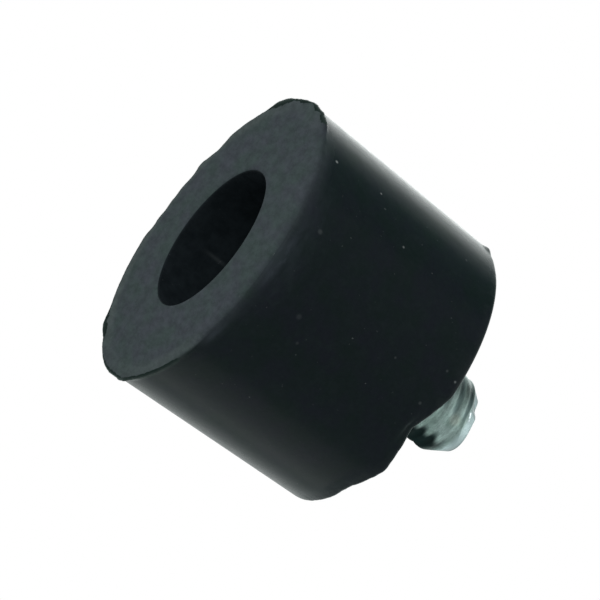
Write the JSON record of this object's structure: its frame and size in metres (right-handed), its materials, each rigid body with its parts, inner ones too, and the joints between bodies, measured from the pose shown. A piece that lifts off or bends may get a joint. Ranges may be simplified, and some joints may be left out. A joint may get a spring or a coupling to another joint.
{
  "type": "rubber foot",
  "caption": "Round black rubber foot with a deep recess in its ground face, a steel washer moulded in, and an M8 stud that stands out of its top face.",
  "frame": {"origin": "centre of the ground face, on the surface that the foot stands on", "axes": "+Z along the foot's axis, from the ground face towards the end of the stud"},
  "size_m": [0.03, 0.03, 0.031],
  "materials": {
    "rubber": "matt moulded rubber",
    "washer_steel": "satin plain steel",
    "zinc_plate": "bluish bright zinc plate"
  },
  "bodies": {
    "root": {"rubber_body": "rubber", "insert_washer": "washer_steel", "cap_screw": "zinc_plate"}
  },
  "joints": []
}
